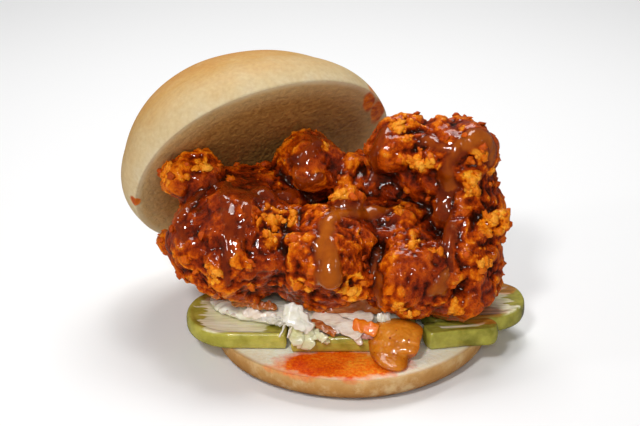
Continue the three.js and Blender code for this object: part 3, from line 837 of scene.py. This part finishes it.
def sauce_over(points, crust):
    """For each point how deep it is in sauce, how wide the strand is there and how milky."""
    deep = np.full(len(points), FAR_OUT)
    wide = np.zeros(len(points))
    milk = np.zeros(len(points))
    for milky, line in SAUCE_RUNS.values():
        depth, width = depth_in_run(points, laid_on(crust, line))
        wide = np.where(depth > deep, width, wide)
        milk = np.where(depth > deep, milky, milk)
        deep = np.maximum(deep, depth)
    return deep, wide, milk


def depth_in_balls(points, balls):
    """1 in the middle of a ball, 0 at its skin, less outside: the best of all balls."""
    best = np.full(len(points), FAR_OUT)
    for x, y, z, radius in balls:
        best = np.maximum(best, 1 - np.linalg.norm(points - [x, y, z], axis=1) / radius)
    return best


# %% [markdown]
# Crust relief, glaze and what the material needs to know
# Sauce fills the creases: where it lies, the crags fade and the surface stands out in one smooth
# swell. Afterwards the depth of each point below its surroundings is measured, near and far. The
# material uses it for raised crumbs fried golden, and for painted shade: creases and the wide
# hollows between the lumps are painted darker, partly the crust's own darker colour.
# material uses it as a cook would see it: raised crumbs fried golden, creases stayed dark.

# %% Make the chicken
CRUST_SQUARE = 0.72
CRUST_ROUNDS = 8
NEAR_ROUNDS = 14
FAR_ROUNDS = 160
SAUCE_RAGGED = 0.26
SAUCE_THICKNESS = 0.26
GLAZE_THICKNESS = 0.3
CRAG_SIZES = ((6.4, 3.2, 11), (3.1, 1.2, 23), (1.7, 0.35, 37))
CREST_SIZES = ((4.6, 0.9, 51), (2.3, 0.4, 52))


def crust_relief(points):
    """Rounded crags in three sizes: each is a height times (0.35 - the squared distance to the
    nearest seed), stronger in some places than in others. Torn crests stand over them: a height
    times ((1 - 1.5 * |swell|)^2 - 0.4), which is sharp where the swell passes zero."""
    bent = stirred(points, 6.0, 1.9, 5)
    relief = 0.25 * swell(points, 1.1, 53)
    for size, height, seed in CRAG_SIZES:
        near = crags(bent + seed, size, seed)
        strength = np.clip(0.6 + 0.8 * swell(points, 9, seed), 0, 2)
        relief += height * strength * (0.35 - near ** 2)
    for size, height, seed in CREST_SIZES:
        strength = np.clip(0.7 + 0.8 * swell(points, 8, seed), 0, 1.5)
        relief += height * strength * ((1 - np.abs(1.5 * swell(bent, size, seed))) ** 2 - 0.4)
    return relief


def make_chicken_mesh():
    """The rebuilt solid, moved along its normals by relief and sauce, with its facts stored. Also
    gives back its points, its normals, where it is gold and how likely a loose crumb sits there."""
    mesh = rebuilt("chicken", CRUST_SQUARE, CRUST_ROUNDS)
    points = read(mesh.vertices, "co").astype(float) / MM
    normals = read(mesh.vertex_normals, "vector").astype(float)
    wavy = stirred(stirred(points, 6.0, 1.6, 41), 2.4, 0.5, 44)
    deep, wide, milk = sauce_over(wavy, points)
    deep = deep + SAUCE_RAGGED * swell(points, 3.0, 61)
    sauce = eased(deep, -0.06, 0.3)
    swollen = np.sqrt(eased(deep, 0, 0.8))
    patch = depth_in_balls(points, GLAZED) * 2.2 + 0.75 * swell(points, 6.5, 3) + 0.4 * swell(points, 3, 8)
    glaze = eased(patch + 0.3 * normals[:, 2], 0.0, 0.5) * 0.8
    gold = eased(depth_in_balls(wavy, GOLDEN) + 0.4 * swell(points, 3.2, 19), 0.0, 0.5) * (1 - sauce)
    glaze = glaze * (1 - 0.7 * gold)
    cover = np.maximum(sauce * 0.94, glaze * 0.4)
    lift = crust_relief(points) * (1 - cover) + SAUCE_THICKNESS * wide * swollen + GLAZE_THICKNESS * glaze
    points = points + normals * lift[:, None]
    mesh.vertices.foreach_set("co", (points * MM).astype(np.float32).ravel())
    mesh.update()
    normals = read(mesh.vertex_normals, "vector").astype(float)
    near = hollows(mesh, points, normals, NEAR_ROUNDS)
    far = hollows(mesh, points, normals, FAR_ROUNDS)
    # How deep each point lies, near and far: the material turns this into painted shade in hollows.
    facts = {
        "near_hollow": np.clip(0.5 + near / 0.9, 0, 1), "far_hollow": np.clip(0.6 + far / 4, 0, 1),
        "sauce": sauce, "sauce_tone": milk * (0.45 + 0.55 * swollen), "glaze": np.maximum(glaze, sauce),
        "gold": gold,
    }
    for fact, numbers in facts.items():
        keep_fact(mesh, fact, numbers)
    likely = (1 - cover) ** 2 * (0.1 + gold) * eased(-near, -0.1, 0.25)
    return mesh, points, normals, gold, likely


# %% [markdown]
# Crust and sauce colours
#
# Paprika batter fries to a deep orange brown, lighter on the raised crumbs. In the creases and in
# the wide hollows between the lumps it is nearly black red, partly its own colour and partly
# painted shade. A thin glaze darkens and wets it. Thick sauce is caramel brown and hides it. All of
# this is one material, because sauce and crust meet in ragged edges, and the stored facts say how
# much of each there is.

# %% Crust material
def crust_material():
    """Tone from noise and from hollows (painted shade), gold on raised dry crumbs, syrup and caramel over
    it.
    """
    look = Look(
        "crust", Specular_IOR_Level=0.1, Specular_Tint=seen(255, 190, 120), Coat_Roughness=0.06,
        Coat_IOR=1.5, Subsurface_Weight=0.06, Subsurface_Radius=(0.0022, 0.0009, 0.0004),
    )
    where = look.place()
    blotch = look.grain(0.007, where, 3.0)
    crumb = look.grain(0.0019, where, 3.0, 0.7)
    near, sauce, glaze, milk = [look.fact(name) for name in ("near_hollow", "sauce", "glaze", "sauce_tone")]
    # Creases and wide hollows lower the tone: painted shade, partly the crust's own darker colour.
    tone = look.scaled(near, -0.95, 1.1)
    tone = look.scaled(look.fact("far_hollow"), -0.95, tone)
    tone = look.scaled(crumb, 1.6, look.scaled(blotch, 0.9, tone))
    tone = look.ranged(tone, 0.65, 2.0)
    crust = look.graded(
        tone, (0.0, 40, 6, 0), (0.25, 96, 22, 0), (0.5, 142, 42, 0), (0.75, 182, 68, 0), (1.0, 222, 108, 6),
    )
    golden = look.graded(
        tone, (0.0, 104, 26, 0), (0.35, 190, 76, 0), (0.65, 234, 126, 6), (1.0, 252, 168, 44),
    )
    raised = look.scaled(crumb, 1.2, look.scaled(near, -1.4, 0.58))
    ragged = look.scaled(look.fact("gold"), 1.0, raised)
    colour = look.between(look.ranged(ragged, 1.05, 1.5), crust, golden)
    colour = look.specked(colour, where, 260.0, 0.12, 0.08, 0.6, (50, 14, 4))
    syrup = look.between(1.0, colour, seen(214, 130, 50), "MULTIPLY")
    veil = look.graded(tone, (0.0, 44, 8, 0), (0.5, 112, 38, 2), (1.0, 164, 74, 10))
    colour = look.between(glaze, colour, look.between(0.4, syrup, veil))
    thick = look.ranged(look.scaled(blotch, 0.7, milk), 0.3, 1.3)
    caramel = look.graded(
        thick, (0.1, 70, 18, 0), (0.35, 112, 38, 0), (0.7, 166, 82, 12), (1.0, 206, 118, 34),
    )
    milky = look.ranged(milk, 0, 0.6, 0.55, 1.0)
    colour = look.between(look.sums("MULTIPLY", sauce, milky), colour, caramel)
    look.feed(look.shader["Roughness"], look.ranged(glaze, 0, 1, 0.5, 0.24))
    wet = look.scaled(sauce, 0.45, glaze)
    look.feed(look.shader["Coat Weight"], look.ranged(wet, 0, 1.4, 0.3, 1.0))
    dry = look.sums("SUBTRACT", 1.0, sauce)
    return look.done(colour, look.sums("MULTIPLY", crumb, dry), 0.0016)


chicken_mesh, crust_points, crust_normals, crust_gold, crumb_likely = make_chicken_mesh()
add_piece("chicken_crust", chicken_mesh, crust_material(), "chicken")

# %% [markdown]
# Loose crumbs
#
# What makes fried batter look crisp is the small stuff: flakes and crumbs that stand on the crags
# and catch the light with sharp little edges. Each is a small flattened ball whose points are
# pushed in and out at random, so that it looks torn. They are scattered with a fixed draw over the
# raised dry places, most of them where the crust is golden.

# %% Crumbs on the crust
CRUMBS = 1100
CRUMB_RINGS = 4
CRUMB_AROUND = 8
CRUMB_SMALLEST = 0.45
CRUMB_RANGE = 1.75
crumb_draw = np.random.default_rng(5)


def make_crumbs():
    """Balls of three unequal half axes, laid in the crust's own slope and then tilted, with every
    point at 1 plus or minus a third of its distance from the middle. Few of them are large."""
    spots = crumb_draw.choice(len(crust_points), CRUMBS, replace=False, p=crumb_likely / crumb_likely.sum())
    up = unit(crust_normals[spots] + 0.3 * crumb_draw.normal(size=(CRUMBS, 3)))
    side = unit(np.cross(up, crumb_draw.normal(size=(CRUMBS, 3))))
    other = np.cross(up, side)
    large = CRUMB_SMALLEST + CRUMB_RANGE * crumb_draw.uniform(0, 1, CRUMBS)[:, None, None, None] ** 2
    flat = crumb_draw.uniform(0.2, 0.6, (CRUMBS, 1, 1, 1))
    rise = np.linspace(-1.15, 1.15, CRUMB_RINGS)[:, None]
    angle = turns(CRUMB_AROUND)
    torn = 1 + crumb_draw.uniform(-0.33, 0.33, (CRUMBS, CRUMB_RINGS, CRUMB_AROUND, 1))
    level = torn * large
    rings = (
        (crust_points[spots] + 0.1 * crust_normals[spots])[:, None, None]
        + level * (np.cos(rise) * np.cos(angle))[..., None] * side[:, None, None]
        + level * 0.75 * (np.cos(rise) * np.sin(angle))[..., None] * other[:, None, None]
        + level * flat * (np.sin(rise) + 0 * angle)[..., None] * up[:, None, None]
    )
    tint = 0.1 + 0.5 * crust_gold[spots] + crumb_draw.uniform(0, 0.4, CRUMBS)
    return wrapped("chicken_crumbs", rings, {"tint": tint[:, None, None]})


def crumb_material():
    """Dry fried flour, from red brown to yellow gold, one tint for each crumb."""
    look = Look(
        "crumbs", Roughness=0.5, Specular_IOR_Level=0.15, Subsurface_Weight=0.1,
        Subsurface_Radius=(0.001, 0.0005, 0.0002),
    )
    fine = look.grain(0.0009, look.place(), 3.0)
    tone = look.ranged(look.scaled(fine, 0.6, look.fact("tint")), 0.2, 1.4)
    colour = look.graded(
        tone, (0.0, 140, 42, 0), (0.4, 196, 80, 0), (0.75, 232, 130, 12), (1.0, 248, 172, 56),
    )
    return look.done(colour, fine, 0.0004)


add_piece("chicken_crumbs", make_crumbs(), crumb_material(), "chicken")

# %% [markdown]
# Slaw: ribbons in a heap
#
# Slaw is cabbage cut into ribbons, limp with dressing, with a little carrot and red cabbage. Most
# of it is pressed flat under the chicken, so a low bumpy mound is enough there. What hangs out in
# front is made ribbon by ribbon: a flat strip carried along a bent path, twisted, and ruffled at
# its edges. All ribbons of one list are made in one sum and share one mesh.

# %% Ribbons
RIBBON_STEPS = 26
RIBBON_AROUND = 14


def ribbons(rows):
    """Strips, a row each: start x, y, z, heading, length, width, curl, droop, tilt, twist, thick,
    ruffle. The heading turns by curl from end to end. The middle line is start + length * share
    along the average heading so far, sinking by droop * share^2. Across it lies an ellipse, width
    by thick, rolled by tilt + twist * share, with a wave of ruffle along both edges. The finished
    strips are stirred a little."""
    rows = np.array(rows, dtype=float)
    x, _, _, heading, length, width, curl, droop, tilt, twist, thick, ruffle = rows.T[..., None]
    share = np.linspace(0, 1, RIBBON_STEPS)[None, :]
    bend = heading + curl * share / 2
    way = heading + curl * share
    gone = length * share
    middle = np.stack([gone * np.cos(bend), gone * np.sin(bend), -droop * share ** 2], axis=-1)
    middle = rows[:, None, :3] + middle
    across = np.stack([-np.sin(way), np.cos(way), 0 * way], axis=-1)
    along = unit(np.stack([np.cos(way), np.sin(way), -2 * droop * share / length], axis=-1))
    up = np.cross(along, across)
    roll = (tilt + twist * share)[..., None]
    flat = across * np.cos(roll) + up * np.sin(roll)
    over = up * np.cos(roll) - across * np.sin(roll)
    angle = turns(RIBBON_AROUND)
    taper = (1 - 0.45 * np.abs(2 * share - 1) ** 7)[..., None]
    jags = np.sin(9 * share + 4 * heading) + np.sin(23 * share + 7 * heading)
    jagged = 1 + ((0.06 + 0.12 * ruffle) * jags)[..., None]
    side = width[..., None] / 2 * taper * jagged * np.cos(angle)
    body = thick[..., None] / 2 * taper * np.sin(angle)
    slow = (ruffle * np.sin(11 * share + 5 * x))[..., None] * np.cos(angle) ** 3
    fast = 0.35 * (ruffle * np.sin(21 * share + 3 * heading))[..., None] * np.cos(2 * angle)
    strips = middle[:, :, None] + flat[:, :, None] * side[..., None]
    strips = strips + over[:, :, None] * (body + slow + fast)[..., None]
    return stirred(strips, 2.4, 0.35, 31)


def add_ribbons(name, kind, rows):
    """One piece of slaw from all these rows, of one kind of leaf."""
    add_piece(name, wrapped(name, ribbons(rows)), leaf[kind], "slaw")


# %% Slaw materials
SLAW_COLOURS = {
    "cabbage": ((250, 246, 230), (236, 230, 204), (222, 222, 184)),
    "green_cabbage": ((232, 228, 184), (208, 208, 148), (238, 234, 200)),
    "pink_cabbage": ((238, 216, 190), (246, 232, 212), (198, 150, 122)),
    "sauced_cabbage_and_shade": ((150, 62, 10), (190, 104, 40), (214, 150, 90)),
    "carrot": ((246, 128, 0), (240, 106, 0), (250, 154, 20)),
    "purple_cabbage": ((172, 104, 92), (204, 156, 138), (124, 56, 60)),
}


def slaw_material(name, pale, full, vein):
    """Wet leaf: it lets light through, with fine veins along it. A carrot is duller."""
    look = Look(
        name, Roughness=0.4 if name == "carrot" else 0.25, Specular_IOR_Level=0.35, Coat_Weight=0.25,
        Coat_Roughness=0.1, Subsurface_Weight=0.35, Subsurface_Radius=(0.003, 0.003, 0.002),
    )
    blotch = look.grain(0.0045, look.place(), 3.0)
    veins = look.grain(0.0012, look.place((0.3, 1, 0.6)), 3.0)
    colour = look.graded(blotch, (0.35, *pale), (0.65, *full))
    colour = look.between(look.ranged(veins, 0.45, 0.7, 0, 0.45), colour, seen(*vein))
    return look.done(colour, veins, 0.0004)


leaf = {name: slaw_material(name, *colours) for name, colours in SLAW_COLOURS.items()}

# %% [markdown]
# The mound below the ribbons
#
# The mound fills the space under the chicken. It is a flattened egg with a top that the chicken
# presses level, and waves in bands all over it, so that the small part that shows at the sides and
# at the back still looks like cut leaf.

# %% Slaw mound and loose ribbons
SLAW_MIDDLE = np.array([-10.0, -4.0, 17.4])
SLAW_RADII = np.array([42.0, 21.0, 4.6])
MOUND_RINGS = 60
MOUND_AROUND = 260
MOUND_BASE = 16.1
PRESSED_TOP = 17.1
FREE_RISE = 3.6
LOOSE_THICKNESS = 0.6
LOOSE_RANGES = (
    (0.74, 0.93), (16.2, 16.9), (-0.4, 0.7), (8, 15), (1.3, 2.6), (-0.3, 1.2), (0, 0.4), (-0.3, 0.3),
    (-0.3, 0.3), (0.1, 0.3),
)
ribbon_draw = np.random.default_rng(11)


def make_mound():
    """An egg: middle + radii * (cos up * cos round, cos up * sin round, sin up), with waves that
    run across it in bands, and no point above the level where the chicken lies, which is higher
    in front."""
    up = np.linspace(-np.pi / 2, np.pi / 2, MOUND_RINGS)[1:-1, None]
    around = turns(MOUND_AROUND)[None, :]
    wide = np.cos(up)
    ball = np.stack([wide * np.cos(around), wide * np.sin(around), np.sin(up) + 0 * around], axis=-1)
    rings = SLAW_MIDDLE + ball * SLAW_RADII * [0.97, 0.95, 1]
    bent = stirred(rings, 9, 4, 2)
    bands = swell(bent * [0.35, 1.6, 1], 3.2, 4) + 0.6 * swell(bent * [1.5, 0.3, 1], 2.6, 7)
    rings = rings + ball * (bands * 0.8)[..., None]
    top = PRESSED_TOP + FREE_RISE * eased(-rings[..., 1], 4, 11)
    rings[..., 2] = np.clip(rings[..., 2], MOUND_BASE, top)
    return wrapped("slaw_mound", rings[None])


def loose_ribbons(count, first_angle, last_angle):
    """Rows of ribbons that lie round the mound's edge and follow it, half tucked in."""
    place = ribbon_draw.uniform(first_angle, last_angle, count)
    inward, z, swing, *middle_values, ruffle = [
        ribbon_draw.uniform(low, high, count) for low, high in LOOSE_RANGES
    ]
    x = SLAW_MIDDLE[0] + SLAW_RADII[0] * inward * np.cos(place)
    y = SLAW_MIDDLE[1] + SLAW_RADII[1] * inward * np.sin(place)
    heading = np.arctan2(SLAW_RADII[1] * np.cos(place), -SLAW_RADII[0] * np.sin(place)) + swing
    thick = np.full(count, LOOSE_THICKNESS)
    return np.stack([x, y, z, heading, *middle_values, thick, ruffle], axis=-1)


add_piece("slaw_mound", make_mound(), leaf["cabbage"], "slaw")
add_ribbons("slaw_edge_shreds", "cabbage", loose_ribbons(60, 0.1, np.pi * 1.12))
add_ribbons("slaw_edge_purple", "purple_cabbage", loose_ribbons(7, 0.3, np.pi))

# %% [markdown]
# The shreds that the eye goes to
#
# In front hang a crumpled white leaf, a pale green tip that lies down the side of the pickle, wide
# pink stained strips, some strips brown with sauce, one carrot strip and a purple scrap. The brown
# strips under the chicken's lower edge are partly painted shade: dark strips laid where shade
# falls. They are the same ribbons, each with values of its own.

# %% Shreds in front
add_ribbons("slaw_leaf", "cabbage", [
    (-23.5, -27.6, 24.6, -0.5, 9, 7.6, 0.3, 5, 1.1, -0.6, 0.7, 0.35),
    (-21.5, -29, 22.4, -0.15, 8, 5.6, -0.5, 3.2, 0.7, 0.9, 0.7, 0.4),
    (-19, -28.2, 24.2, -0.9, 6, 4.6, 0.6, 4, 1.3, 0.8, 0.6, 0.35),
    (-22.5, -28.8, 21.4, 3.3, 7, 2.2, -0.5, 0.1, 0.9, 0.4, 0.6, 0.5),
    (-24, -29.2, 21.8, 2.9, 4.6, 1.6, 0.6, -0.4, 0.5, 0.6, 0.6, 0.4),
    (-22, -29.6, 20.6, -2.4, 4.4, 2.2, 0.3, 3.4, 0.8, 0.2, 0.6, 0.3),
    (-20, -30, 20.4, -2, 3.4, 1.8, -0.3, 3.6, 1, 0.2, 0.6, 0.3),
])
add_ribbons("slaw_hanging_leaf", "green_cabbage", [
    (-15.5, -28.2, 20.6, -1.75, 4.2, 6.4, 0.2, 8.6, 0.15, 0.3, 0.7, 0.6),
    (-19.4, -28.4, 21, -1.5, 3.8, 5.2, 0.2, 7.6, 0.1, 0.2, 0.7, 0.25),
    (-18.6, -29.6, 18, -1.4, 2.6, 2.2, 0.2, 5.6, 0.1, 0.2, 0.7, 0.15),
    (-15, -30.4, 17.6, -0.3, 7, 3.6, -0.5, 1.2, 0.9, 0.3, 0.7, 0.6),
    (-12, -30.8, 17.2, -0.6, 4.4, 2.6, 0.5, 3, 0.9, 0.2, 0.7, 0.4),
])
add_ribbons("slaw_side_shreds", "cabbage", [
    (8.6, -27.6, 21.8, 0.1, 5, 3.4, 0.3, 0.6, 1, 0.3, 0.7, 0.4),
    (-31, -21, 18.6, -0.3, 8, 3.4, -0.2, 0.8, 0.5, 0.3, 0.6, 0.5),
])
add_ribbons("slaw_pink", "pink_cabbage", [
    (-13.5, -24.5, 20.6, -0.3, 18.5, 6.4, -0.25, 3.2, 0.5, 0.1, 0.8, 0.3),
    (-10, -22, 21.6, -0.1, 18, 4.6, -0.3, 0.8, 0.35, 0.1, 0.7, 0.3),
    (-12.5, -27.5, 18.6, -0.2, 9, 2.8, -0.2, 0.8, 0.8, 0.2, 0.6, 0.3),
    (0.6, -30.6, 17, -0.9, 3.4, 2.4, 0.2, 3, 0.8, 0.1, 0.7, 0.2),
    (-44, -14.5, 18, -0.6, 8, 2, 0.3, 0.5, 0.4, 0.2, 0.6, 0.2),
    (-46, -13, 17.4, -0.3, 9, 2.4, 0.3, 0.4, 0.3, 0.5, 0.6, 0.3),
    (-38, -18.5, 19.6, -0.3, 12, 3.4, 0.1, 0.8, 0.9, 0.2, 0.7, 0.4),
])
# Strips brown with sauce, partly painted shade: dark strips laid under the chicken's edge where shade falls.
add_ribbons("slaw_sauced_and_shade", "sauced_cabbage_and_shade", [
    (-15.5, -27.2, 20.2, -0.35, 11, 2.8, -0.2, 2.6, 0.6, 0.2, 0.7, 0.4),
    (-48, -4, 17.4, -0.3, 14, 3.2, -0.2, 0.4, 0.3, 0.3, 0.6, 0.4),
    (-40, -13, 18.2, -0.45, 10, 2.4, 0.2, 0.6, 0.4, 0.3, 0.6, 0.4),
    (-35, -17.5, 19, -0.35, 10, 2.6, 0.2, 1, 0.6, 0.2, 0.7, 0.4),
    (-42, -17, 22.6, -0.35, 9, 2.6, 0.35, 0.2, 1.2, 0.3, 0.7, 0.6),
    (-35, -19.5, 23, -0.1, 9, 3, 0.2, 0.9, 1, -0.3, 0.7, 0.7),
    (-9, -23, 23.6, 0, 20, 5.2, 0.15, 0.4, 1.2, 0.1, 0.9, 0.4),
])
add_ribbons("slaw_carrot", "carrot", [
    (0.2, -29.4, 20, -0.15, 9, 4.6, -0.1, 1.6, 0.75, 0.2, 0.9, 0.2),
])
add_ribbons("slaw_purple", "purple_cabbage", [
    (3, -31.2, 17.2, -0.1, 6.5, 2.6, 0.2, 1.4, 1.1, 0.2, 0.7, 0.3),
])

# %% [markdown]
# The spill of sauce
#
# One blob of sauce ran over the pickle's edge and came to rest on the heel. It is thick and soft
# like warm honey: a bulging lip above, a round foot below. The blob is a ball bent along the path
# of the fall, flattened across it, with its rim pulled round.

# %% Spill
SPILL_PATH = np.array([
    (16, -23, 18.8), (15.6, -30, 18.4), (14.4, -34, 14.8), (13.6, -38, 11.3), (15.8, -44.5, 10.2),
])
SPILL_HALF_WIDTH = 9.3
SPILL_HALF_THICKNESS = 2.2
SPILL_ROUNDNESS = 2.4
SPILL_RINGS = 90
SPILL_AROUND = 72


def along_path(path, share):
    """Points on a Catmull-Rom curve through the path, for shares from 0 to 1."""
    ends = np.concatenate([[2 * path[0] - path[1]], path, [2 * path[-1] - path[-2]]])
    spot = np.clip(share * (len(path) - 1), 0, len(path) - 1 - 1e-9)
    k = spot.astype(int)
    t = (spot - k)[:, None]
    a, b, c, d = ends[k], ends[k + 1], ends[k + 2], ends[k + 3]
    square = (2 * a - 5 * b + 4 * c - d) * t ** 2
    cube = (3 * b - a - 3 * c + d) * t ** 3
    return 0.5 * (2 * b + (c - a) * t + square + cube)


def make_spill():
    """Across the path an ellipse whose size is the path's rim sqrt(1 - |2 share - 1|^2.4); the
    half above swells more than the half below, and slow waves keep the outline uneven."""
    share = np.linspace(0.004, 0.996, SPILL_RINGS)
    middle = along_path(SPILL_PATH, share)
    way = unit(np.gradient(middle, axis=0))
    across = unit(np.cross(way, [0, 0, 1]))
    up = np.cross(across, way)
    rim = np.sqrt(1 - np.abs(2 * share - 1) ** SPILL_ROUNDNESS)
    half = SPILL_HALF_WIDTH * rim * (1 - 0.22 * eased(share, 0.5, 0.8))
    angle = turns(SPILL_AROUND)
    uneven = 1 + 0.07 * np.sin(11 * share + 0.6)[:, None] + 0.09 * np.sin(7 * share[:, None] + 2 * angle)
    side = half[:, None] * np.cos(angle) * uneven
    high = SPILL_HALF_THICKNESS * rim[:, None] * np.sin(angle) * np.where(np.sin(angle) > 0, 1.15, 0.8)
    rings = middle[:, None] + across[:, None] * side[..., None] + up[:, None] * high[..., None]
    rings = rings + up[:, None] * (0.2 * eased(np.sin(angle), 0, 1) * swell(rings, 4.5, 6))[..., None]
    # How near a point is to the blob's sides, which the material paints darker as painted shade.
    edge = eased(np.abs(np.cos(angle)), 0.7, 1)
    return wrapped("sauce_spill", rings[None], {"foot": share[None, :, None], "edge": edge[None, None]})


def spill_material():
    """Honey coloured sauce with oil, specks of chilli and a hard gloss, darker at its sides as painted
    shade.
    """
    look = Look(
        "spilled_sauce", Roughness=0.3, Specular_IOR_Level=0.25, Coat_Weight=1.0, Coat_Roughness=0.04,
        Coat_IOR=1.35, Subsurface_Weight=0.3, Subsurface_Radius=(0.003, 0.0015, 0.0004),
    )
    where = look.place()
    tone = look.scaled(look.fact("foot"), -0.1, look.grain(0.006, where, 3.0))
    # Darker towards the sides of the blob: painted shade.
    tone = look.scaled(look.fact("edge"), -0.25, tone)
    colour = look.graded(tone, (0.1, 166, 80, 4), (0.4, 204, 118, 18), (0.65, 224, 144, 44))
    colour = look.specked(colour, where, 320.0, 0.16, 0.1, 0.85, (150, 40, 8))
    return look.done(colour, look.grain(0.004, where, 2.0), 0.0012)


add_piece("sauce_spill", make_spill(), spill_material(), "sauce_pool")
